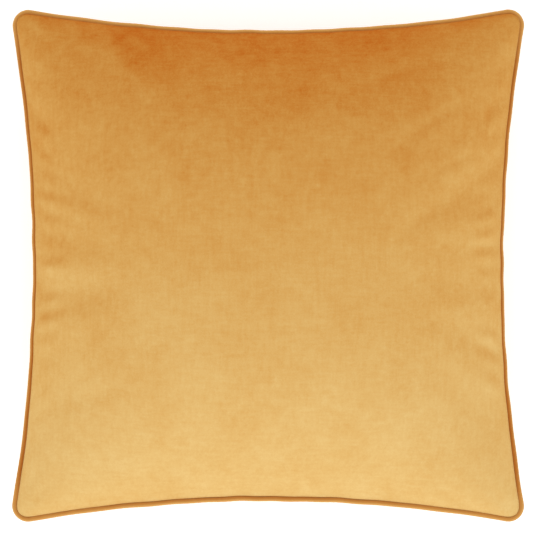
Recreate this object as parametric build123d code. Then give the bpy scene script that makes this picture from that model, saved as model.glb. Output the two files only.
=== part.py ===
"""A square piped throw pillow: a zipped velvet cover around a sewn, stuffed pad.

It lies on its back panel, front face up. The origin is on the surface it lies on, under the
middle of the pillow. The side that holds the zip faces -Y.
"""

import math
import os

from build123d import *

# Cover, millimetres
PILLOW_SIZE = 450.0        # corner to corner along one side, over the piping
WAIST_DEPTH = 18.0         # how far the middle of each side draws in from the corners
CORNER_RADIUS = 14.0       # outside the piping
SEAM_HEIGHT = 68.0         # the seam plane above the surface that the pillow lies on
FRONT_CROWN = 78.0         # the front panel's highest point above the seam plane
REST_FLATTENING = 6.0      # how much deeper the back panel would hang if it rested on nothing
CROWN_POWER = 3.0          # how full the crown is: 2 is a soft dome, 4 a flat one
VELVET = 1.2               # panel cloth with its pile
SEAM_ALLOWANCE = 15.0      # cloth turned in behind the seam
PLY_GAP = 0.05             # between layers that are sewn together, and between a thread and cloth
EDGE_RISE = 0.8            # how far outside the seam line a crown would reach the seam plane
TURNED_CORNER = 2.0        # smallest corner radius of what is turned in

# Piping
PIPING_CORD = 3.0          # filler cord, diameter
PIPING_CLOTH = 0.9         # velvet strip that wraps the cord
CORD_EASE = 0.05           # between the cord and its wrap
PIPING_GAP = 0.3           # between the wrap and the panels' seam line

# Threads
THREAD = 0.5               # sewing thread, diameter
SEAM_STITCH_INSET = 3.0    # the seam's stitch line behind the seam line
OVERLOCK_WRAP = 0.3        # thread wall round the raw edges

# Zip, measured across the seam from the seam line (inwards) and down from the seam plane
ZIP_LENGTH = 350.0         # the opening, along the seam line
TAPE = 0.35                # woven tape, thickness
TAPE_WIDTH = 13.0          # how far the back tape reaches down the panel's inner face
COIL = 1.2                 # coil diameter
COIL_GAP = 0.15            # between the two meshed coils
SLIDER_WALL = 0.6          # plates and back of the slider
SLIDER_EASE = 0.3          # between the slider and what runs through it
SLIDER_LIP = 1.2           # how far the slider's plates reach past the coils
SLIDER_LENGTH = 8.0        # along the zip
PANEL_CLEARANCE = 0.35     # between the slider and the cloth
NECK = 1.0                 # web that carries the pull through the slit, thickness
NECK_LENGTH = 4.0          # along the zip
SELVEDGE_GAP = 0.4         # between the front tape's edge and the cloth's raw edge
STOP_LENGTH = 3.0
BOTTOM_STOP_LENGTH = 5.0
STOP_EASE = 0.3            # between the slider and a stop, at each end of its travel

# Pull tab
PIVOT = 1.2                # post that the tab swings on, diameter
PIVOT_EASE = 0.08          # round the post
PULL_LENGTH = 20.0
PULL_HEIGHT = 4.0
PULL_THICKNESS = 1.0
PULL_EYE_WALL = 0.9        # round the eye that the post passes through
PULL_DROP = 0.45           # between the piping and the neck under it

# Pad
PAD_EASE = 3.0             # between the raw edges and the pad's seam
PAD_CORNER = 16.0          # corner radius of the pad's outline
PAD_CLOTH = 0.5
PAD_GAP = 0.5              # between the cover and the pad at the crowns
FILLING_GAP = 0.3          # between the pad's cloth and its filling
PAD_ALLOWANCE = 8.0        # pad cloth turned in behind its seam
PAD_CLOSING = 120.0        # stretch of the pad's seam closed by hand after stuffing
CLOSING_PITCH = 8.0        # between the hand stitches

# Labels, blank
CARE_LABEL = (28.0, 12.0)  # along the seam, behind the seam
PAD_LABEL = (30.0, 20.0)
LABEL_CLOTH = 0.25         # woven ribbon, thickness

GRID_HALF = 9              # crown surface: grid lines each side of the middle

half_size = PILLOW_SIZE / 2
waist_half = half_size - WAIST_DEPTH
corner_centre = half_size - CORNER_RADIUS
side_chord = corner_centre**2 + WAIST_DEPTH**2 - 2 * CORNER_RADIUS * WAIST_DEPTH
side_radius = side_chord / (2 * WAIST_DEPTH)
side_centre = waist_half + side_radius
cord_tube = PIPING_CORD / 2 + CORD_EASE
piping_radius = cord_tube + PIPING_CLOTH
seam_inset = 2 * piping_radius + PIPING_GAP
seam_radius = side_radius + seam_inset
ply = PIPING_CLOTH + PLY_GAP
allowance_inset = seam_inset + SEAM_ALLOWANCE
front_base = SEAM_HEIGHT + ply + VELVET
front_rise = FRONT_CROWN - ply - VELVET
back_base = SEAM_HEIGHT - ply - VELVET
back_crown = SEAM_HEIGHT + REST_FLATTENING
back_depth = back_crown - ply - VELVET


def outline(inset, corner):
    """A face with four hollow sides and round corners, a distance inside the piping's outer edge."""
    side = side_radius + inset
    waist = waist_half - inset
    middle = (side_centre - math.sqrt(2 * (side + corner) ** 2 - side_centre**2)) / 2
    share = side / (side + corner)
    touch = Vector(side_centre + (middle - side_centre) * share, middle * share)
    tip = middle + corner * math.cos(math.pi / 4)
    edges = []
    for quarter in range(4):
        turn = Rotation(0, 0, 90 * quarter)
        edges.append(turn * ThreePointArc((touch.X, -touch.Y), (waist, 0), (touch.X, touch.Y)))
        edges.append(turn * ThreePointArc((touch.X, touch.Y), (tip, tip), (touch.Y, touch.X)))
    return make_face(edges)


def prism(face, low, high):
    """The face as a solid between two heights."""
    return Pos(0, 0, low) * extrude(face, high - low)


def crown_height(across, along):
    """Height share of a crown at a place from -1 to 1 each way: steep at the seam, low in the corners."""
    rise_a = 1 - abs(across) ** CROWN_POWER
    rise_b = 1 - abs(along) ** CROWN_POWER
    both = rise_a + rise_b - rise_a * rise_b
    return rise_a * rise_b / both if both > 0 else 0.0


def crown(inset, base, height):
    """The crown's surface over an outline; a negative height hangs below its base."""
    reach = inset - EDGE_RISE
    sag = waist_half - reach
    tip = (side_centre - math.sqrt(2 * (side_radius + reach) ** 2 - side_centre**2)) / 2
    steps = [math.sin(math.pi / 2 * i / GRID_HALF) for i in range(-GRID_HALF, GRID_HALF + 1)]
    rows = []
    for along in steps:
        row = []
        for across in steps:
            x = across * (tip - (tip - sag) * (1 - along**2))
            y = along * (tip - (tip - sag) * (1 - across**2))
            row.append(Vector(x, y, base + height * crown_height(across, along)))
        rows.append(row)
    return Face.make_surface_from_array_of_points(rows, tol=0.02, min_deg=3, max_deg=5)


def reach_at_depth(depth, along):
    """How far behind the seam line the back panel's inner face lies that deep below the seam
    plane, at a distance from the middle of the side."""
    need = (depth - ply) / back_depth
    end = 1 - (along / (waist_half + WAIST_DEPTH - seam_inset)) ** CROWN_POWER
    rise = need * end / (end + need * end - need)
    across = (1 - rise) ** (1 / CROWN_POWER)
    return (1 - across) * (waist_half - seam_inset + EDGE_RISE) - EDGE_RISE


def edge_of(inset, corner):
    """The upright space inside an outline."""
    return prism(outline(inset, max(corner, TURNED_CORNER)), -PILLOW_SIZE, PILLOW_SIZE)


def level(low, high):
    """All the space between two heights."""
    return Pos(0, 0, (low + high) / 2) * Box(2 * PILLOW_SIZE, 2 * PILLOW_SIZE, high - low)


def hill(inset, base, height):
    """The space under a crown."""
    return extrude(crown(inset, base, height), amount=PILLOW_SIZE, dir=(0, 0, -1))


def bowl(inset, base, depth, floor):
    """The space over a hanging crown and over the floor that flattens it."""
    above = extrude(crown(inset, base, -depth), amount=PILLOW_SIZE, dir=(0, 0, 1))
    return above & level(floor, floor + PILLOW_SIZE)


def upper_cloth(inset, corner, turned, base, height, cloth):
    """The upper cloth of a cover: a crown, and the allowance that is turned in at its base."""
    outside = hill(inset, base, height) & edge_of(inset, corner)
    inside = hill(inset, base - cloth, height) & edge_of(inset + cloth, corner - cloth)
    allowance = (outside & level(base - cloth, base)) - edge_of(inset + turned, corner - turned)
    return ((outside - inside) & level(base, PILLOW_SIZE)) + allowance


def lower_cloth(inset, corner, turned, base, depth, cloth, floor):
    """The lower cloth of a cover, which lies flat where it rests, with its turned-in allowance."""
    outside = bowl(inset, base, depth, floor) & edge_of(inset, corner)
    inside = bowl(inset, base + cloth, depth, floor + cloth) & edge_of(inset + cloth, corner - cloth)
    allowance = (outside & level(base, base + cloth)) - edge_of(inset + turned, corner - turned)
    return ((outside - inside) & level(-PILLOW_SIZE, base)) + allowance


def across_zip(points):
    """A closed outline across the zip, from points as (behind the seam line, height)."""
    return Plane.XZ * make_face(Polyline(*[(seam_radius + reach, z) for reach, z in points], close=True))


def along_zip(section, start, end):
    """A section swept along the zip's side between two angles about that side's centre. Angle 0
    is the middle of the side, and they grow towards +X."""
    swept = revolve(Rotation(0, 0, 90 - end) * section, Axis.Z, end - start)
    return Pos(0, -side_centre, 0) * swept


def zip_bar(reach_from, reach_to, low, high, start, end):
    """A square-edged piece along the zip."""
    corners = [(reach_from, low), (reach_to, low), (reach_to, high), (reach_from, high)]
    return along_zip(across_zip(corners), start, end)


def zip_rod(reach, height, diameter, start, end):
    """A round piece along the zip."""
    section = Plane.XZ * Pos(seam_radius + reach, height) * Circle(diameter / 2)
    return along_zip(section, start, end)


def angle_of(length):
    """The turn about the side's centre that covers a length of the seam line."""
    return math.degrees(length / seam_radius)


def tube(inset, corner, radius, height):
    """A closed tube that follows the outline."""
    path = Pos(0, 0, height) * outline(inset, max(corner, TURNED_CORNER)).wire()
    start = path.edges()[0]
    section = Plane(start @ 0, z_dir=start % 0) * Circle(radius)
    return sweep(section, path)


def stitch_lines(inset, corner, stack):
    """A lockstitch as its two threads, on the two faces of a stack of cloth about the seam plane."""
    height = stack + PLY_GAP + THREAD / 2
    return [tube(inset, corner, THREAD / 2, SEAM_HEIGHT + side * height) for side in (1, -1)]


# Cover

seam_corner = CORNER_RADIUS - seam_inset


def zip_gap(reach, low):
    """The space that the back of the cover leaves free along the zip."""
    return zip_bar(-seam_inset, reach, low, SEAM_HEIGHT - ply, -zip_end, zip_end)


def front_panel():
    return upper_cloth(seam_inset, seam_corner, SEAM_ALLOWANCE, front_base, front_rise, VELVET)


def back_panel():
    cloth = lower_cloth(seam_inset, seam_corner, SEAM_ALLOWANCE, back_base, back_depth, VELVET, 0)
    return cloth - zip_gap(slit_reach, 0) - zip_gap(SEAM_ALLOWANCE + VELVET, back_base)


def piping_sleeve():
    corner = CORNER_RADIUS - piping_radius
    wrap = tube(piping_radius, corner, piping_radius, SEAM_HEIGHT)
    bore = tube(piping_radius, corner, cord_tube, SEAM_HEIGHT)
    inset = 2 * piping_radius - PIPING_CLOTH / 2
    flange = edge_of(inset, CORNER_RADIUS - inset) - edge_of(allowance_inset, TURNED_CORNER)
    return wrap - bore + (flange & level(SEAM_HEIGHT - PIPING_CLOTH, SEAM_HEIGHT + PIPING_CLOTH))


def piping_cord():
    return tube(piping_radius, CORNER_RADIUS - piping_radius, PIPING_CORD / 2, SEAM_HEIGHT)


def cover_seam_stitching():
    inset = seam_inset + SEAM_STITCH_INSET
    upper, lower = stitch_lines(inset, CORNER_RADIUS - inset, ply + VELVET)
    return [upper, lower - zip_gap(SEAM_ALLOWANCE, 0)]


def overlock_stitching():
    inset = allowance_inset + PLY_GAP
    wall = edge_of(inset, TURNED_CORNER) - edge_of(inset + OVERLOCK_WRAP, TURNED_CORNER)
    return (wall & level(back_base, front_base)) - zip_gap(SEAM_ALLOWANCE + 2 * VELVET, 0)


def care_label():
    along, deep = CARE_LABEL
    fold = 2 * LABEL_CLOTH
    edge = waist_half - seam_inset - SEAM_STITCH_INSET - THREAD
    return Pos(-edge + deep / 2, 0, back_base - PLY_GAP - fold / 2) * Box(deep, along, fold)


# Zip: two tapes with a coil each lie behind the piping. The slider wraps the coils from outside
# and opens inwards, where the tapes leave it. The front tape is sewn to the piping's flange and
# the back tape to the back panel's inner face.

zip_end = angle_of(ZIP_LENGTH / 2)
slider_top = SEAM_HEIGHT - PIPING_CLOTH - PANEL_CLEARANCE
front_tape_low = slider_top - SLIDER_WALL - SLIDER_EASE - TAPE
front_coil_height = front_tape_low - PLY_GAP - COIL / 2
back_coil_height = front_coil_height - COIL - COIL_GAP
back_tape_low = back_coil_height - COIL / 2 - PLY_GAP - TAPE
slider_bottom = back_tape_low - SLIDER_EASE - SLIDER_WALL
neck_top = SEAM_HEIGHT - piping_radius - PULL_DROP
neck_low = neck_top - NECK
zip_reach = reach_at_depth(SEAM_HEIGHT - slider_bottom + PANEL_CLEARANCE, ZIP_LENGTH / 2)
slit_reach = reach_at_depth(SEAM_HEIGHT - neck_low + PANEL_CLEARANCE, ZIP_LENGTH / 2)
channel = zip_reach + SLIDER_WALL + SLIDER_EASE
coil_reach = channel + COIL / 2
slider_mouth = coil_reach + COIL / 2 + SLIDER_LIP
tape_turn = slider_mouth + PANEL_CLEARANCE
coil_start = -zip_end + angle_of(BOTTOM_STOP_LENGTH)
coil_end = zip_end - angle_of(STOP_LENGTH)
slider_half = angle_of(SLIDER_LENGTH / 2)
slider_rest = coil_end - slider_half - angle_of(STOP_EASE)
stop_reach = zip_reach + SLIDER_WALL / 2
stop_depth = coil_reach + COIL
pivot_reach = -PANEL_CLEARANCE - PIVOT / 2 - PIVOT_EASE - PULL_EYE_WALL
eye_top = neck_low - PANEL_CLEARANCE
eye_low = eye_top - PULL_HEIGHT


def zip_tape_front():
    lap = SEAM_HEIGHT - ply
    selvedge = SEAM_ALLOWANCE - SELVEDGE_GAP
    section = across_zip([
        (channel, front_tape_low),
        (tape_turn + TAPE, front_tape_low),
        (tape_turn + TAPE, lap - TAPE),
        (selvedge, lap - TAPE),
        (selvedge, lap),
        (tape_turn, lap),
        (tape_turn, front_tape_low + TAPE),
        (channel, front_tape_low + TAPE),
    ])
    return along_zip(section, -zip_end, zip_end)


def on_back_panel(gap, thickness, reach_from, reach_to):
    """A strip along the zip that lies on the back panel's inner face."""
    surface = crown(seam_inset, back_base + VELVET + gap, -back_depth)
    layer = extrude(surface, amount=thickness, dir=(0, 0, 1))
    return layer & zip_bar(reach_from, reach_to, 0, 2 * SEAM_HEIGHT, -zip_end, zip_end)


def zip_tape_back():
    top = back_tape_low + TAPE
    section = across_zip([
        (channel, back_tape_low),
        (tape_turn, back_tape_low),
        (tape_turn, 0),
        (tape_turn + TAPE, 0),
        (tape_turn + TAPE, top),
        (channel, top),
    ])
    above_panel = bowl(seam_inset, back_base + VELVET + PLY_GAP, back_depth, 0)
    turned = along_zip(section, -zip_end, zip_end) & above_panel
    return turned + on_back_panel(PLY_GAP, TAPE, tape_turn, tape_turn + TAPE_WIDTH)


def zip_coil_front():
    return zip_rod(coil_reach, front_coil_height, COIL, coil_start, coil_end)


def zip_coil_back():
    return zip_rod(coil_reach, back_coil_height, COIL, coil_start, coil_end)


def zip_top_stops():
    """One on each coil, wide enough to meet the slider's wall."""
    heights = (front_coil_height, back_coil_height)
    half = COIL / 2
    return [zip_bar(stop_reach, stop_depth, z - half, z + half, coil_end, zip_end) for z in heights]


def zip_bottom_stop():
    low = back_coil_height - COIL / 2
    high = front_coil_height + COIL / 2
    return zip_bar(stop_reach, stop_depth, low, high, -zip_end, coil_start)


def zip_stitching_front():
    reach = (tape_turn + TAPE + SEAM_ALLOWANCE - SELVEDGE_GAP) / 2
    return zip_rod(reach, SEAM_HEIGHT - ply - TAPE - PLY_GAP - THREAD / 2, THREAD, -zip_end, zip_end)


def zip_stitching_back():
    middle = tape_turn + TAPE_WIDTH / 2
    return on_back_panel(TAPE + 2 * PLY_GAP, THREAD, middle - THREAD / 2, middle + THREAD / 2)


def at_pivot(shape):
    """Places a shape made about the pull's pivot, with +X along the zip and +Y inwards."""
    along = Pos(0, -side_centre, 0) * Rotation(0, 0, -slider_rest)
    return along * Pos(0, seam_radius + pivot_reach, 0) * shape


def zip_slider():
    start, end = slider_rest - slider_half, slider_rest + slider_half
    body = zip_bar(zip_reach, slider_mouth, slider_bottom, slider_top, start, end)
    slot_low, slot_high = slider_bottom + SLIDER_WALL, slider_top - SLIDER_WALL
    body = body - zip_bar(zip_reach + SLIDER_WALL, 2 * slider_mouth, slot_low, slot_high, -zip_end, zip_end)
    half_neck = angle_of(NECK_LENGTH / 2)
    neck_to = zip_reach + SLIDER_WALL / 2
    neck = zip_bar(pivot_reach, neck_to, neck_low, neck_top, slider_rest - half_neck, slider_rest + half_neck)
    boss = at_pivot(Pos(0, 0, (neck_low + neck_top) / 2) * Cylinder(NECK_LENGTH / 2, NECK))
    head_low = eye_low - PANEL_CLEARANCE - NECK / 2
    post_height = neck_low - head_low
    post = at_pivot(Pos(0, 0, head_low + post_height / 2) * Cylinder(PIVOT / 2, post_height))
    head_radius = PIVOT / 2 + PIVOT_EASE + PULL_EYE_WALL / 2
    head = at_pivot(Pos(0, 0, head_low + NECK / 4) * Cylinder(head_radius, NECK / 2))
    return body + neck + boss + post + head


def zip_pull():
    """A tapered tab with a grip hole, and an eye that turns on the slider's post."""
    hole = PIVOT / 2 + PIVOT_EASE
    middle = (eye_top + eye_low) / 2
    near = PULL_HEIGHT / 3
    far = PULL_HEIGHT / 2
    blade = make_face(Polyline((0, -near), (-PULL_LENGTH, -far), (-PULL_LENGTH, far), (0, near), close=True))
    blade = fillet(blade.vertices().group_by(Axis.X)[0], PULL_HEIGHT / 3)
    grip = Pos(-PULL_LENGTH * 2 / 3, 0) * SlotOverall(PULL_LENGTH / 3, PULL_HEIGHT / 3)
    blade = extrude(Plane.XZ * (blade - grip), PULL_THICKNESS / 2, both=True)
    eye = Cylinder(hole + PULL_EYE_WALL, PULL_HEIGHT)
    pull = blade + eye - Cylinder(hole, 2 * PULL_HEIGHT)
    return at_pivot(Pos(0, 0, middle) * pull)


# Pad: a stuffed inner pillow, sewn shut, a little smaller than the cover

pad_inset = allowance_inset + PAD_EASE
pad_base = PLY_GAP + PAD_CLOTH
pad_rise = FRONT_CROWN - VELVET - PAD_GAP - pad_base
pad_depth = back_crown - VELVET - PAD_GAP - pad_base
pad_floor = VELVET + PAD_GAP
filling_inset = pad_inset + PAD_ALLOWANCE + PAD_CLOTH
filling_gap = PAD_CLOTH + FILLING_GAP


def pad_case_front():
    base = SEAM_HEIGHT + pad_base
    return upper_cloth(pad_inset, PAD_CORNER, PAD_ALLOWANCE, base, pad_rise, PAD_CLOTH)


def pad_case_back():
    base = SEAM_HEIGHT - pad_base
    return lower_cloth(pad_inset, PAD_CORNER, PAD_ALLOWANCE, base, pad_depth, PAD_CLOTH, pad_floor)


def pad_filling():
    rise = pad_rise + pad_base - filling_gap
    depth = pad_depth + pad_base - filling_gap
    edge = edge_of(filling_inset, PAD_CORNER - PAD_ALLOWANCE)
    upper = hill(filling_inset, SEAM_HEIGHT, rise) & edge & level(SEAM_HEIGHT, PILLOW_SIZE)
    lower = bowl(filling_inset, SEAM_HEIGHT, depth, pad_floor + filling_gap) & edge & level(0, SEAM_HEIGHT)
    return upper + lower


def pad_seam_stitching():
    inset = pad_inset + PAD_ALLOWANCE / 2
    return stitch_lines(inset, PAD_CORNER - PAD_ALLOWANCE / 2, pad_base)


def pad_closing_stitches():
    """Whip stitches over the pad's edge, where it was stuffed."""
    loop_radius = 3 * THREAD
    radius = side_radius + pad_inset + PAD_CLOTH
    count = round(PAD_CLOSING / CLOSING_PITCH)
    loops = []
    for i in range(count):
        place = math.degrees((i - (count - 1) / 2) * CLOSING_PITCH / radius)
        loop = Rotation(0, 90, 0) * Torus(loop_radius, THREAD / 2)
        loops.append(Pos(0, -side_centre, SEAM_HEIGHT) * Rotation(0, 0, -place) * Pos(0, radius, 0) * loop)
    return loops


def pad_label():
    along, deep = PAD_LABEL
    surface = crown(pad_inset, SEAM_HEIGHT + pad_base + PLY_GAP, pad_rise)
    layer = extrude(surface, amount=LABEL_CLOTH, dir=(0, 0, 1))
    edge = waist_half - pad_inset - PAD_ALLOWANCE
    return layer & Pos(-edge + deep / 2, 0, SEAM_HEIGHT) * Box(deep, along, PILLOW_SIZE)


MAKERS = [
    front_panel, back_panel, piping_sleeve, piping_cord, cover_seam_stitching, overlock_stitching,
    care_label, zip_tape_front, zip_tape_back, zip_coil_front, zip_coil_back, zip_top_stops,
    zip_bottom_stop, zip_stitching_front, zip_stitching_back, zip_slider, zip_pull,
    pad_case_front, pad_case_back, pad_filling, pad_seam_stitching, pad_closing_stitches, pad_label,
]

os.makedirs("parts", exist_ok=True)
for maker in MAKERS:
    shape = maker()
    if isinstance(shape, list):
        shape = Compound(children=[solid for piece in shape for solid in piece.solids()])
    export_step(shape, f"parts/{maker.__name__}.step")
    print(maker.__name__, len(shape.solids()), round(shape.volume, 1))

travel = slider_rest - slider_half - coil_start - angle_of(STOP_EASE)
pivot_radius = seam_radius + pivot_reach
print("zip axis", 0, -side_centre, "travel", travel)
print("pull axis", pivot_radius * math.sin(math.radians(slider_rest)),
      pivot_radius * math.cos(math.radians(slider_rest)) - side_centre)
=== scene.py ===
"""A square amber velvet throw pillow with piped edges, lying on its back on a pale floor."""
import math

import bpy
import numpy as np
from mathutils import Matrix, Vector


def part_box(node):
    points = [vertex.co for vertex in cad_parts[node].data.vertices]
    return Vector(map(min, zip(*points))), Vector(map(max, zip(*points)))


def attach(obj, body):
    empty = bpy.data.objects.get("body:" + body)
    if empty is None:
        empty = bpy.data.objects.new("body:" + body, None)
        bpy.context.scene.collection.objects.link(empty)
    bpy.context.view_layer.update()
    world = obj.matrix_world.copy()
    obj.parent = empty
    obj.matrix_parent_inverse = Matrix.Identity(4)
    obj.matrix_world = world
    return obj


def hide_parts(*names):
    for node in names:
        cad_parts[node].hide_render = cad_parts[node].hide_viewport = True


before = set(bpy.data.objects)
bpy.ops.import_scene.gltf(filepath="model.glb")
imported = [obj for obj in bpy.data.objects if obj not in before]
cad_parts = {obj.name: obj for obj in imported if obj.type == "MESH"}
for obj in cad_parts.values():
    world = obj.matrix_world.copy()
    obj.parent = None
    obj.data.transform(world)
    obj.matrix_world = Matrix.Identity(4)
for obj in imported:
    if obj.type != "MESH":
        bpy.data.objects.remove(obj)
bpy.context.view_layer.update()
bpy.ops.object.select_all(action="DESELECT")


# FRONT PANEL
# One square of short-pile velvet, cut flat and sewn into the edge seam all round. The pad bows it
# out, which draws the middle of each side in and leaves soft puckers square to the seam.
PIPING_LOW, PIPING_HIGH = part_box("piping_sleeve")
SEAM_Z = (PIPING_LOW.z + PIPING_HIGH.z) / 2
HALF = PIPING_HIGH.x                # middle to the piping's outer edge at a corner
PIPING_RADIUS = (PIPING_HIGH.z - PIPING_LOW.z) / 2
WAIST = 0.018                       # how far the sides draw in at their middle
CORNER = 0.014                      # outer corner radius, over the piping
SIDE_RADIUS = ((HALF - CORNER) ** 2 + WAIST ** 2 - 2 * CORNER * WAIST) / (2 * WAIST)
SIDE_CENTRE = HALF - WAIST + SIDE_RADIUS
VELVET = 0.0012                     # cloth with its pile
SEAM_INSET = 0.0045                 # the seam line, inside the piping's outer edge
CLOTH_GAP = 0.0003                  # between the piping and the cloth's middle layer
CUT_HALF = 0.2235                   # half of the panel's flat size between seams
CELLS = 90                          # across a panel
# The velvet's three colours, mixed by the value stored on each panel: the deep end also serves as painted
# shade, the pale end as painted sheen.
AMBER_DEEP = (0.56, 0.135, 0.006, 1)
AMBER_MIDDLE = (0.85, 0.590, 0.105, 1)
AMBER_PALE = (0.85, 0.590, 0.235, 1)
SHEEN_TINT = (1.0, 0.70, 0.30, 1)


class Wire:
    """A shader value that takes part in sums."""

    def __init__(self, paint, socket):
        self.paint, self.socket = paint, socket

    def sum(self, operation, first, second):
        made = self.paint.node("ShaderNodeMath", {"operation": operation}, {0: first, 1: second})
        return Wire(self.paint, made.outputs[0])

    def __add__(self, other):
        return self.sum("ADD", self, other)

    def __sub__(self, other):
        return self.sum("SUBTRACT", self, other)

    def __mul__(self, other):
        return self.sum("MULTIPLY", self, other)

    __radd__ = __add__
    __rmul__ = __mul__


class Paint:
    """A material being made: nodes are added by type, settings and sockets."""

    def __init__(self, name, roughness, **fixed):
        self.material = bpy.data.materials.new(name)
        self.material.use_nodes = True
        self.tree = self.material.node_tree
        self.surface = self.tree.nodes["Principled BSDF"]
        self.surface.inputs["Roughness"].default_value = roughness
        for socket, value in fixed.items():
            self.surface.inputs[socket.replace("_", " ")].default_value = value
        place = self.node("ShaderNodeTexCoord", {}, {})
        self.place = Wire(self, place.outputs["Object"])

    def node(self, kind, settings, sockets):
        made = self.tree.nodes.new(kind)
        stops = settings.pop("stops", None)
        for setting, value in settings.items():
            setattr(made, setting, value)
        if stops:
            for stop, (position, value) in zip(made.color_ramp.elements, stops):
                stop.position, stop.color = position, (value, value, value, 1)
        for socket, value in sockets.items():
            if isinstance(value, Wire):
                self.tree.links.new(value.socket, made.inputs[socket])
            else:
                made.inputs[socket].default_value = value
        return made

    def noise(self, scale, stretch=(1, 1, 1), detail=3.0, roughness=0.5):
        """Soft noise about 0.5, in metres."""
        spot = self.node("ShaderNodeMapping", {}, {"Vector": self.place, "Scale": stretch})
        made = self.node("ShaderNodeTexNoise", {}, {
            "Vector": Wire(self, spot.outputs[0]), "Scale": scale, "Detail": detail, "Roughness": roughness,
        })
        return Wire(self, made.outputs["Fac"])

    def bands(self, direction, scale, wobble):
        """Parallel stripes from 0 to 1."""
        made = self.node("ShaderNodeTexWave", {"bands_direction": direction}, {
            "Vector": self.place, "Scale": scale / 2, "Distortion": wobble, "Detail": 2.0,
        })
        return Wire(self, made.outputs["Fac"])

    def attribute(self, name):
        made = self.node("ShaderNodeAttribute", {"attribute_name": name}, {})
        return Wire(self, made.outputs["Fac"])

    def ramp(self, value, low, high):
        """0 below low, 1 above high."""
        made = self.node("ShaderNodeValToRGB", {"stops": [(low, 0), (high, 1)]}, {0: value})
        return Wire(self, made.outputs[0])

    def mix(self, factor, first, second):
        made = self.node("ShaderNodeMix", {"data_type": "RGBA", "clamp_factor": True},
                         {"Factor": factor, 6: first, 7: second})
        return Wire(self, made.outputs[2])

    def finish(self, color, height=None, distance=0.001, strength=1.0):
        self.tree.links.new(color.socket, self.surface.inputs["Base Color"])
        if height is not None:
            bump = self.node("ShaderNodeBump", {}, {
                "Height": height, "Distance": distance, "Strength": strength,
            })
            self.tree.links.new(bump.outputs[0], self.surface.inputs["Normal"])
        return self.material


def reach(angle, inset, corner):
    """From the middle to the outline at an angle, for an outline that much inside the piping's edge."""
    turn = (angle + math.pi / 4) % (math.pi / 2) - math.pi / 4
    side = SIDE_RADIUS + inset
    across = SIDE_CENTRE * np.sin(turn)
    straight = SIDE_CENTRE * np.cos(turn) - np.sqrt(side ** 2 - across ** 2)
    if corner <= 0:
        return straight
    middle = (SIDE_CENTRE - math.sqrt(2 * (side + corner) ** 2 - SIDE_CENTRE ** 2)) / 2
    share = side / (side + corner)
    touch = math.atan2(middle * share, SIDE_CENTRE + (middle - SIDE_CENTRE) * share)
    away = middle * (np.cos(turn) - np.abs(np.sin(turn)))
    root = np.sqrt(np.maximum(corner ** 2 - away ** 2, 0))
    rounded = middle * (np.cos(turn) + np.abs(np.sin(turn))) + root
    return np.where(np.abs(turn) > touch, rounded, straight)


def wave(angle, seed, turns):
    """A smooth wobble from -1 to 1 round the pillow, from a few whole numbers of turns."""
    draw = np.random.default_rng(seed)
    total = np.zeros_like(angle)
    for turn in turns:
        total += draw.uniform(0.4, 1.0) * np.sin(turn * angle + draw.uniform(0, 2 * math.pi))
    return total / len(turns)


def toward(angle, side, low, high):
    """1 near the middle direction of a side, fading to 0; the side's own angle is in quarter turns."""
    near = np.cos(angle - side * math.pi / 2)
    return np.clip((near - low) / (high - low), 0, 1)


def seam_wobble(angle):
    """How far the seam strays outwards and upwards; it runs true along the zip, on side 3."""
    out = wave(angle, 3, (9, 14, 22, 31, 46)) * 0.0010
    up = wave(angle, 8, (7, 12, 19, 33)) * 0.0009 * (1 - toward(angle, 3, 0.55, 0.75))
    return out, up


def grid(name, cells):
    """A square of cloth, and its two directions from -1 to 1."""
    bpy.ops.mesh.primitive_grid_add(x_subdivisions=cells, y_subdivisions=cells, size=2)
    piece = bpy.context.object
    piece.name = piece.data.name = name
    flat = np.array([v.co for v in piece.data.vertices])
    return piece, flat[:, 0], flat[:, 1]


def to_outline(s, t, half, inset, corner):
    """Places on a hollow-sided square with round corners, from two directions from -1 to 1."""
    rim = np.maximum(np.abs(s), np.abs(t))
    tip = (SIDE_CENTRE - math.sqrt(2 * (SIDE_RADIUS + inset) ** 2 - SIDE_CENTRE ** 2)) / 2
    waist = tip - (HALF - WAIST - inset)
    x = s * (tip - waist * (1 - t ** 2))
    y = t * (tip - waist * (1 - s ** 2))
    angle = np.arctan2(y, x)
    rounding = reach(angle, inset, corner) / reach(angle, inset, 0)
    fade = 1 - (1 - rounding) * rim ** 6
    if half:
        x, y = s * half, t * half
    return x * fade, y * fade, angle


def crown(s, t):
    """The height share of a stuffed panel, steep at the seam and low in the corners."""
    a, b = 1 - np.abs(s) ** 3, 1 - np.abs(t) ** 3
    return a * b / np.maximum(a + b - a * b, 1e-9)


def inflate(piece, cut, pinned, pressure, frames):
    """Blows a sewn-in panel up from its flat cut, held at its rim."""
    piece.shape_key_add(name="sewn")
    flat = piece.shape_key_add(name="cut")
    flat.data.foreach_set("co", cut.astype(np.float32).ravel())
    rim = piece.vertex_groups.new(name="rim")
    rim.add([int(i) for i in np.flatnonzero(pinned)], 1.0, "REPLACE")
    cloth = piece.modifiers.new("cloth", "CLOTH")
    velvet = cloth.settings
    velvet.rest_shape_key = flat
    velvet.vertex_group_mass = "rim"
    velvet.quality, velvet.mass = 8, 0.15
    velvet.tension_stiffness = velvet.compression_stiffness = 20
    velvet.shear_stiffness, velvet.bending_stiffness = 10, 2
    velvet.tension_damping = velvet.compression_damping = velvet.shear_damping = 10
    velvet.air_damping = 3
    velvet.use_pressure, velvet.uniform_pressure_force = True, pressure
    velvet.effector_weights.gravity = 0
    cloth.collision_settings.use_collision = False
    cloth.point_cache.frame_end = frames
    for step in range(1, frames + 1):
        bpy.context.scene.frame_set(step)
    shaped = piece.evaluated_get(bpy.context.evaluated_depsgraph_get())
    place = np.array([v.co for v in shaped.data.vertices])
    piece.modifiers.remove(cloth)
    piece.shape_key_clear()
    piece.vertex_groups.clear()
    bpy.context.scene.frame_set(1)
    return place


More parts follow.
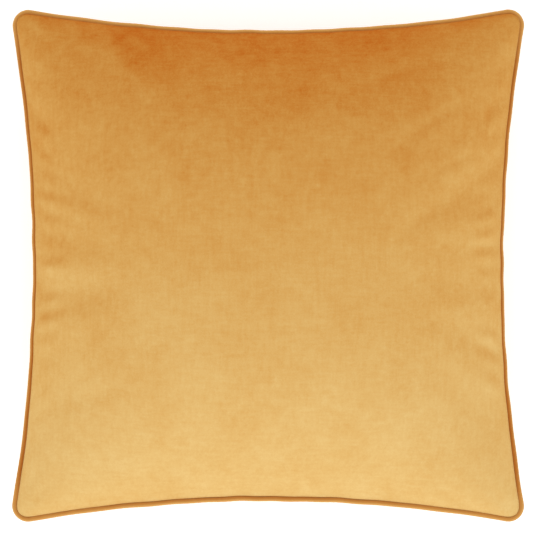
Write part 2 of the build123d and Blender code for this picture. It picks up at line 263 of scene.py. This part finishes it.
def put(piece, place):
    piece.data.vertices.foreach_set("co", place.astype(np.float32).ravel())
    piece.data.update()


def places(piece):
    return np.array([v.co for v in piece.data.vertices])


def behind_seam(place):
    """How far inside the seam line a place is."""
    angle = np.arctan2(place[:, 1], place[:, 0])
    return reach(angle, SEAM_INSET, CORNER - SEAM_INSET) - np.hypot(place[:, 0], place[:, 1])


def pucker(place, side, slack=1):
    """Soft folds square to the seam, deepest just behind it and gone a hand's width in."""
    angle = np.arctan2(place[:, 1], place[:, 0])
    behind = np.maximum(behind_seam(place), 0)
    folds = wave(angle, 21 + side, (38, 47, 58, 71, 83)) + 0.6 * wave(angle, 33 + side, (23, 29, 17))
    long_folds = wave(angle, 55 + side, (13, 19, 26))
    sides = 0.5 + 0.5 * (toward(angle, 0, 0.7, 0.95) + toward(angle, 2, 0.7, 0.95))
    deep = np.exp(-((behind - 0.012) / 0.013) ** 2)
    wide = np.exp(-((behind - 0.034) / 0.034) ** 2)
    rise = (folds * deep * 0.0026 + long_folds * wide * 0.0024) * np.clip(behind / 0.008, 0, 1)
    place[:, 2] += side * rise * sides * slack
    return place


def crease(place, start, end, width, depth):
    """A faint soft fold pressed into the cloth along a line, fading out at both ends."""
    line = np.subtract(end, start)
    along = ((place[:, :2] - start) @ line) / (line @ line)
    off = (place[:, :2] - start) @ np.array([-line[1], line[0]]) / np.linalg.norm(line)
    bow = off + 0.006 * np.sin(math.pi * np.clip(along, 0, 1))
    fade = np.clip(np.sin(math.pi * np.clip(along, 0, 1)), 0, 1)
    place[:, 2] -= depth * fade * np.exp(-(bow / width) ** 2)
    return place


def sewn_panel(name, side, rise, overlap, pressure, frames):
    """A panel held at the seam: side is 1 for the front and -1 for the back, and overlap is how far
    its edge rolls out over the piping."""
    piece, s, t = grid(name, CELLS)
    rim = np.maximum(np.abs(s), np.abs(t))
    x, y, angle = to_outline(s, t, None, SEAM_INSET, CORNER - SEAM_INSET)
    out, up = seam_wobble(angle)
    shift = (out + overlap(angle)) * rim ** 4
    x = x + np.cos(angle) * shift
    y = y + np.sin(angle) * shift
    lift = over_piping(SEAM_INSET - overlap(angle)) * rim ** 2
    z = SEAM_Z + up * rim ** 4 + side * (lift + rise * crown(s, t))
    flat_x, flat_y, _ = to_outline(s, t, CUT_HALF, SEAM_INSET, CORNER - SEAM_INSET)
    put(piece, np.stack([x, y, z], 1))
    if side < 0:
        piece.data.flip_normals()
    cut = np.stack([flat_x, flat_y, np.full_like(s, SEAM_Z)], 1)
    put(piece, inflate(piece, cut, rim > 1 - 1e-4, pressure, frames))
    return piece, s, t, np.stack([x, y, z], 1)


def over_piping(inset):
    """How far above the seam plane the cloth clears the piping, that far inside its outer edge."""
    beside = np.clip((PIPING_RADIUS - inset) / PIPING_RADIUS, -1, 1)
    return PIPING_RADIUS * np.sqrt(1 - beside ** 2) + CLOTH_GAP


def turn_in(piece, steps):
    """Turns the rim in behind the seam, in steps of (how far in, how far up)."""
    bpy.context.view_layer.objects.active = piece
    bpy.ops.object.mode_set(mode="EDIT")
    bpy.ops.mesh.select_mode(type="EDGE")
    bpy.ops.mesh.select_all(action="DESELECT")
    bpy.ops.mesh.select_non_manifold()
    for inward, up in steps:
        bpy.ops.mesh.extrude_edges_move()
        bpy.ops.object.mode_set(mode="OBJECT")
        place = places(piece)
        chosen = np.array([v.select for v in piece.data.vertices])
        length = np.linalg.norm(place[chosen, :2], axis=1, keepdims=True)
        place[chosen, :2] *= 1 - inward / length
        place[chosen, 2] += up
        put(piece, place)
        bpy.ops.object.mode_set(mode="EDIT")
    bpy.ops.object.mode_set(mode="OBJECT")


def apply_modifier(piece, kind, **settings):
    bpy.ops.object.select_all(action="DESELECT")
    piece.select_set(True)
    bpy.context.view_layer.objects.active = piece
    made = piece.modifiers.new(kind.lower(), kind)
    for setting, value in settings.items():
        setattr(made, setting, value)
    bpy.ops.object.modifier_apply(modifier=made.name)


def store_nap_and_sheen(piece, lean):
    """Stores how pale the cloth is painted, from 0, deep in colour, to 1, pale: the pile's lay together with
    painted sheen and painted shade.
    """
    nap_and_sheen = piece.data.attributes.new("nap_and_sheen", "FLOAT", "POINT")
    nap_and_sheen.data.foreach_set("value", np.clip(lean, -0.2, 1.2).astype(np.float32))


def normals_of(piece):
    return np.array([v.normal for v in piece.data.vertices])


def paint_nap_and_sheen(piece, smooth):
    """Stores the pile's lay with painted sheen and shade: deeper in colour towards +Y and where the cloth
    slopes steeply, paler towards -Y, with a painted highlight where a fold turns towards -Y and -X away from
    the smooth normals that the panel had before it, and painted shade where it turns the other way."""
    place = places(piece)
    now = normals_of(piece)
    # Painted sheen and shade along Y: paler towards -Y, deeper towards +Y, less so near the sides at +X and
    # -X.
    nap_and_sheen_along_y = place[:, 1] * (1 - 0.35 * (place[:, 0] / HALF) ** 2)
    # Painted highlight and shade on the folds, from how far they turn from the smooth normals.
    folded = (now[:, 1] - smooth[:, 1]) + 0.5 * (now[:, 0] - smooth[:, 0])
    # Painted shade: deeper where the cloth slopes steeply, most where it faces +Y.
    painted_slope_shade = 0.10 * now[:, 1] + 0.26 * now[:, 1] ** 2
    store_nap_and_sheen(piece, 0.60 - 1.5 * nap_and_sheen_along_y - painted_slope_shade - 0.42 * folded)


def velvet(name, deep, middle, pale, spread):
    """Short dense pile: a soft glow at grazing angles, brush marks, and the weave showing faintly."""
    paint = Paint(name, 0.92, Sheen_Weight=0.18, Sheen_Roughness=0.38, Sheen_Tint=SHEEN_TINT,
                  Specular_IOR_Level=0.10)
    cloudy = paint.noise(20, detail=3.0) - 0.5
    mottled = paint.noise(115, detail=5.0, roughness=0.62) - 0.5
    warp = paint.noise(400, stretch=(1.0, 0.14, 1.0), detail=2.0) - 0.5
    weft = paint.noise(400, stretch=(0.14, 1.0, 1.0), detail=2.0) - 0.5
    pile = paint.noise(760, detail=3.0, roughness=0.7) - 0.5
    pressed = paint.ramp(paint.noise(31, stretch=(1.0, 0.6, 1.0), detail=6.0, roughness=0.66), 0.56, 0.72)
    marks = cloudy * 0.26 + mottled * 0.26 + warp * 0.15 + weft * 0.15 + pile * 0.30 - pressed * 0.09
    # The stored value carries the pile's lay with painted sheen and painted shade; the marks are the cloth's
    # own tone at random.
    pile_and_sheen = paint.attribute("nap_and_sheen") + marks * spread
    color = paint.mix(pile_and_sheen, deep, paint.mix(pile_and_sheen, middle, pale))
    return paint.finish(color, pile + (warp + weft) * 0.5, distance=0.0004, strength=0.45)


panel_velvet = velvet("velvet", AMBER_DEEP, AMBER_MIDDLE, AMBER_PALE, 1.0)


def dress(piece, material, slot, *nodes):
    """Gives a finished piece its material, its body and the CAD nodes that it stands for."""
    piece.data.materials.clear()
    piece.data.materials.append(material)
    piece.data.polygons.foreach_set("use_smooth", [True] * len(piece.data.polygons))
    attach(piece, "cover")
    if nodes:
        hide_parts(*nodes)


ROLL_IN = [(0.0005, -0.0006), (0.0018, -0.0003)]   # behind the seam: further in, further down
FRONT_CREASES = [                   # start, end, width, depth
    ((0.19, 0.15), (0.10, 0.09), 0.006, 0.0009),
    ((0.20, 0.10), (0.13, 0.07), 0.005, 0.0008),
    ((0.18, 0.18), (0.07, 0.15), 0.006, 0.0007),
    ((0.16, 0.06), (0.09, 0.00), 0.007, 0.0008),
    ((-0.20, 0.06), (-0.13, 0.03), 0.006, 0.0007),
    ((-0.19, -0.12), (-0.11, -0.09), 0.007, 0.0007),
]


def front_overlap(angle):
    """The front's edge rolls well over the piping, but hardly on the -Y side."""
    return 0.0018 - 0.0002 * toward(angle, 1, 0.3, 0.9) - 0.0016 * toward(angle, 3, 0.3, 0.9)


front, s, t, sewn = sewn_panel("front_velvet", side=1, rise=0.074, overlap=front_overlap,
                               pressure=6.3, frames=30)
front_shape = places(front)
turn_in(front, ROLL_IN)
apply_modifier(front, "SUBSURF", levels=1, render_levels=1)
smooth = normals_of(front)
folded = pucker(places(front), 1)
for line in FRONT_CREASES:
    crease(folded, *line)
put(front, folded)
paint_nap_and_sheen(front, smooth)
apply_modifier(front, "SOLIDIFY", thickness=VELVET, offset=-1)
dress(front, panel_velvet, "velvet", "front_panel")


# BACK PANEL
# The same cloth and cut as the front. It is flat where the pillow lies on it, and along the zip,
# on the -Y side, its edge stands a little off the piping.
REST_GAP = 0.0002                   # the pile's tips, above the floor
ZIP_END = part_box("zip_tape_front")[1].x
ZIP_DROP = 0.0031                   # how far the free edge hangs, so that the slider's neck passes


def by_zip(place, fade):
    """1 along the zip, on the -Y side, fading to 0 beyond its ends."""
    along, out = np.abs(place[:, 0]), -place[:, 1]
    return np.clip((ZIP_END + fade - along) / fade, 0, 1) * np.clip((out - 0.9 * along) / 0.01, 0, 1)


def back_overlap(angle):
    """The back's edge rolls a little over the piping, but keeps behind it along the zip."""
    far = reach(angle, SEAM_INSET, CORNER - SEAM_INSET)
    place = np.stack([far * np.cos(angle), far * np.sin(angle)], -1)
    return 0.0006 * (1 - by_zip(place.reshape(-1, 2), 0.006).reshape(angle.shape))


def rest_on_floor(place, soften=0.004):
    """Flattens what would sink below the floor, with a soft turn at the patch's edge."""
    over = place[:, 2] - REST_GAP
    place[:, 2] = REST_GAP + (over + np.sqrt(over ** 2 + soften ** 2)) / 2
    return place


back, s, t, sewn = sewn_panel("back_velvet", side=-1, rise=0.072, overlap=back_overlap,
                              pressure=6.3, frames=30)


def stiffened(place):
    """1 where the zip's tape is sewn to the panel and holds it smooth, fading to 0 round it."""
    return by_zip(place, 0.015) * np.exp(-(np.maximum(behind_seam(place), 0) / 0.042) ** 4)


back_shape = places(back)
held = stiffened(sewn)
back_shape += (sewn - back_shape) * held[:, None]
free_edge = np.exp(-(np.maximum(behind_seam(sewn), 0) / 0.003) ** 2)
back_shape[:, 2] -= 0.0018 * held + ZIP_DROP * free_edge * by_zip(sewn, 0.005)
back_shape = rest_on_floor(back_shape)
put(back, back_shape)
turn_in(back, [(inward, -up) for inward, up in ROLL_IN])
apply_modifier(back, "SUBSURF", levels=1, render_levels=1)
smooth = normals_of(back)
folded = places(back)
put(back, rest_on_floor(pucker(folded, -1, 1 - stiffened(folded)), 0.0005))
paint_nap_and_sheen(back, smooth)
apply_modifier(back, "SOLIDIFY", thickness=VELVET, offset=-1)
dress(back, panel_velvet, "velvet", "back_panel")


# PIPING
# A bias strip of the same velvet folded round a soft cotton cord and caught in the seam by its
# flange. The strip's pile stands out from the seam, so it looks darker than the panels.
PIPING_STEPS = 1300
PIPING_SIDES = 20
# The piping's colours, mixed by its stored value: the pale end serves as painted sheen.
PIPING_DEEP = (0.42, 0.110, 0.008, 1)
PIPING_PALE = (0.70, 0.36, 0.095, 1)


def even_turns(count, inset):
    """Angles round the pillow that are evenly spaced along its outline, the last on the first."""
    fine = np.linspace(0, 2 * math.pi, 20001)
    far = reach(fine, inset, CORNER - inset)
    step = np.hypot(np.diff(far * np.cos(fine)), np.diff(far * np.sin(fine)))
    run = np.concatenate([[0], np.cumsum(step)])
    return np.interp(np.linspace(0, run[-1], count + 1), run, fine)


def select_all(piece):
    bpy.ops.object.select_all(action="DESELECT")
    piece.select_set(True)
    bpy.context.view_layer.objects.active = piece
    bpy.ops.object.mode_set(mode="EDIT")
    bpy.ops.mesh.select_all(action="SELECT")


def close_up(piece):
    """Joins edges that lie on each other, and faces everything outwards."""
    select_all(piece)
    bpy.ops.mesh.remove_doubles(threshold=1e-6)
    bpy.ops.mesh.normals_make_consistent(inside=False)
    bpy.ops.object.mode_set(mode="OBJECT")


bpy.ops.mesh.primitive_grid_add(x_subdivisions=PIPING_STEPS, y_subdivisions=PIPING_SIDES, size=2)
piping = bpy.context.object
piping.name = piping.data.name = "piping"
strip = places(piping)
run = (strip[:, 0] + 1) / 2
around = strip[:, 1] * math.pi
spots = np.round(run * PIPING_STEPS).astype(int)
angle = even_turns(PIPING_STEPS, PIPING_RADIUS)
angle[-1] = angle[0]
out, up = seam_wobble(angle)
far = reach(angle, PIPING_RADIUS, CORNER - PIPING_RADIUS) + out
centre = np.stack([far * np.cos(angle), far * np.sin(angle), SEAM_Z + up], 1)
ahead = centre[np.r_[1:PIPING_STEPS + 1, 1]] - centre[np.r_[PIPING_STEPS - 1, 0:PIPING_STEPS]]
ahead /= np.linalg.norm(ahead, axis=1, keepdims=True)
outward = np.stack([ahead[:, 1], -ahead[:, 0], np.zeros(PIPING_STEPS + 1)], 1)
outward /= np.linalg.norm(outward, axis=1, keepdims=True)
upward = np.cross(ahead, outward) * -1
twill = np.sin(2 * math.pi * 330 * run + 2 * around) * (0.5 + 0.5 * np.sin(2 * math.pi * 17 * run))
wide = PIPING_RADIUS * (1 + 0.022 * twill + 0.03 * np.sin(2 * math.pi * 41 * run + 1))
across, high = wide * np.cos(around), wide * np.sin(around)
put(piping, centre[spots] + outward[spots] * across[:, None] + upward[spots] * high[:, None])
close_up(piping)
turned = normals_of(piping)
spread_out = places(piping)
radial = spread_out[:, :2] / np.linalg.norm(spread_out[:, :2], axis=1, keepdims=True)
# Painted sheen on the piping's outward-facing side.
outer = np.clip((turned[:, :2] * radial).sum(1), 0, 1)
# Painted sheen along the piping's +Y and -Y sides.
painted_sheen_y_sides = np.clip((np.abs(spread_out[:, 1]) - 0.18) / 0.03, 0, 1)
store_nap_and_sheen(piping, 0.15 + 0.75 * np.clip(1.3 * outer, 0, 1) + 0.42 * painted_sheen_y_sides)
piping_velvet = velvet("piping_velvet", PIPING_DEEP, PIPING_PALE, PIPING_PALE, 0.6)
dress(piping, piping_velvet, "velvet_piping", "piping_sleeve")


# PAD
# The inner pillow: plain cotton sewn round and stuffed with loose fibre. It fills the cover and
# stays out of sight inside it.
PAD_DROP = VELVET + 0.0007          # the pad's face, inside the cover's
PAD_SHARE = 0.905                   # the pad's span over the cover's
bpy.ops.mesh.primitive_grid_add(x_subdivisions=CELLS, y_subdivisions=CELLS, size=2)
pad = bpy.context.object
pad.name = pad.data.name = "pad"
select_all(pad)
bpy.ops.mesh.duplicate()
bpy.ops.object.mode_set(mode="OBJECT")
rim = np.maximum(np.abs(s), np.abs(t))
inner = []
for side, shape in ((1, front_shape), (-1, back_shape)):
    half = shape.copy()
    half[:, :2] *= PAD_SHARE
    half[:, 2] = SEAM_Z + side * np.maximum(side * (shape[:, 2] - SEAM_Z) - PAD_DROP, 0) * (rim < 1 - 1e-4)
    inner.append(half)
put(pad, np.concatenate(inner))
close_up(pad)
calico = Paint("pad_cloth", 0.9, Sheen_Weight=0.1)
threads = calico.noise(2600, stretch=(1, 0.2, 1)) + calico.noise(2600, stretch=(0.2, 1, 1))
shade = calico.mix(threads * 0.5, (0.62, 0.60, 0.55, 1), (0.82, 0.80, 0.76, 1))
dress(pad, calico.finish(shade, threads, distance=0.0002), "pad_cloth", "pad_case_front", "pad_case_back",
      "pad_filling")


# THREADS AND LABELS
# Twisted polyester in the cover's colour, undyed cotton in the pad, and two blank ribbon labels
# caught in their seams. All of it is inside.
def coat(material, *names):
    for name in names:
        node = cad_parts[name]
        node.data.materials.clear()
        node.data.materials.append(material)


def twisted(name, dark, light):
    """Thread with its plies showing."""
    paint = Paint(name, 0.55, Sheen_Weight=0.2)
    plies = paint.bands("DIAGONAL", 700, 0.4)
    return paint.finish(paint.mix(plies, dark, light), plies, distance=0.0001)


coat(twisted("amber_thread", (0.42, 0.16, 0.03, 1), (0.68, 0.33, 0.09, 1)), "cover_seam_stitching",
     "overlock_stitching", "zip_stitching_front", "zip_stitching_back")
coat(twisted("white_thread", (0.6, 0.59, 0.56, 1), (0.85, 0.84, 0.82, 1)), "pad_seam_stitching",
     "pad_closing_stitches")
coat(twisted("cotton_cord", (0.58, 0.55, 0.48, 1), (0.84, 0.81, 0.74, 1)), "piping_cord")
ribbon = Paint("ribbon", 0.38, Sheen_Weight=0.1)
satin = ribbon.bands("X", 900, 0.6)
coat(ribbon.finish(ribbon.mix(satin, (0.72, 0.72, 0.7, 1), (0.88, 0.88, 0.86, 1)), satin, distance=0.0001),
     "care_label", "pad_label")


# ZIP
# A closed-end coil zip hidden behind the piping: herringbone tapes and nylon coils dyed to match, and a
# slider, stops and pull tab enamelled in the same amber, worn to bare metal in patches.
tape = Paint("zip_tape", 0.8, Sheen_Weight=0.15)
weave = tape.bands("DIAGONAL", 420, 0.8) * tape.bands("Z", 900, 0.3)
coat(tape.finish(tape.mix(weave, (0.30, 0.105, 0.02, 1), (0.55, 0.24, 0.06, 1)), weave, distance=0.0002),
     "zip_tape_front", "zip_tape_back")
nylon = Paint("zip_coil", 0.32, Coat_Weight=0.15)
streaky = nylon.noise(900, detail=2.0)
nylon_amber = nylon.finish(nylon.mix(streaky, (0.30, 0.10, 0.02, 1), (0.62, 0.28, 0.07, 1)), streaky,
                           distance=0.00004)


COIL_PITCH = 0.0011                 # along the zip, from loop to loop
COIL_WIRE = 0.00017                 # half of the filament's thickness


def coil(name, node):
    """A bent nylon filament: one loop for each pitch, along the zip's own arc."""
    low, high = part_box(node)
    radius = (high.z - low.z) / 2
    arc = high.y + SIDE_CENTRE - radius
    end = math.asin(high.x / arc)
    turns = round(2 * end * arc / COIL_PITCH)
    bpy.ops.mesh.primitive_grid_add(x_subdivisions=turns * 10, y_subdivisions=6, size=2)
    piece = bpy.context.object
    piece.name = piece.data.name = name
    made = places(piece)
    run, around = made[:, 0], made[:, 1] * math.pi
    phase = math.pi * turns * run
    loop = np.stack([np.cos(phase), np.sin(phase)], 1)
    thick = COIL_WIRE * np.cos(around)
    across = arc + (radius - COIL_WIRE + thick) * loop[:, 0]
    high_up = (low.z + high.z) / 2 + (radius - COIL_WIRE + thick) * loop[:, 1]
    turn = end * run + COIL_WIRE * np.sin(around) / arc
    put(piece, np.stack([across * np.sin(turn), across * np.cos(turn) - SIDE_CENTRE, high_up], 1))
    select_all(piece)
    bpy.ops.mesh.remove_doubles(threshold=1e-7)
    bpy.ops.mesh.fill_holes(sides=0)
    bpy.ops.mesh.normals_make_consistent(inside=False)
    bpy.ops.object.mode_set(mode="OBJECT")
    dress(piece, nylon_amber, "zip_coil", node)


coil("coil_front", "zip_coil_front")
coil("coil_back", "zip_coil_back")
enamel = Paint("zip_metal", 0.3, Coat_Weight=0.5, Coat_Roughness=0.12)
rubbed = enamel.ramp(enamel.noise(420, detail=4.0), 0.62, 0.74)
enamel.tree.links.new(rubbed.socket, enamel.surface.inputs["Metallic"])
grain = enamel.noise(2600, detail=2.0)
coat(enamel.finish(enamel.mix(rubbed, (0.50, 0.20, 0.04, 1), (0.62, 0.56, 0.46, 1)), grain, distance=0.00003),
     "zip_slider", "zip_pull", "zip_top_stops", "zip_bottom_stop")


# FLOOR, LIGHT AND CAMERA
# A plain pale floor in soft white light, low from the zipped side, seen from straight above.
bpy.ops.mesh.primitive_plane_add(size=30)
floor = bpy.context.object
floor.name = "floor"
floor_paint = Paint("pale_floor", 0.9, Base_Color=(0.9, 0.9, 0.9, 1), Emission_Color=(1, 1, 1, 1),
                    Emission_Strength=0.42)
floor.data.materials.append(floor_paint.material)

world = bpy.data.worlds.new("studio")
world.use_nodes = True
world.node_tree.nodes["Background"].inputs["Color"].default_value = (1, 1, 1, 1)
world.node_tree.nodes["Background"].inputs["Strength"].default_value = 0.88
bpy.context.scene.world = world
bpy.context.scene.view_settings.view_transform = "Standard"


def soft_light(name, spot, size, energy):
    lamp = bpy.data.lights.new(name, "AREA")
    lamp.energy, lamp.size = energy, size
    holder = bpy.data.objects.new(name, lamp)
    holder.location = spot
    holder.rotation_euler = (Vector((0, 0, SEAM_Z)) - Vector(spot)).to_track_quat("-Z", "Y").to_euler()
    bpy.context.scene.collection.objects.link(holder)


soft_light("window", (0, -1.5, 1.1), 1.2, 5)

lens = bpy.data.cameras.new("camera")
lens.lens = 120
CAMERA_OFF = (-0.0014, -0.0007)
FRAME_SHARE = 0.9605                # the pillow's width over the view's
camera = bpy.data.objects.new("camera", lens)
camera.location = (*CAMERA_OFF, SEAM_Z + 2 * HALF / FRAME_SHARE * lens.lens / lens.sensor_width)
bpy.context.scene.collection.objects.link(camera)
bpy.context.scene.camera = camera
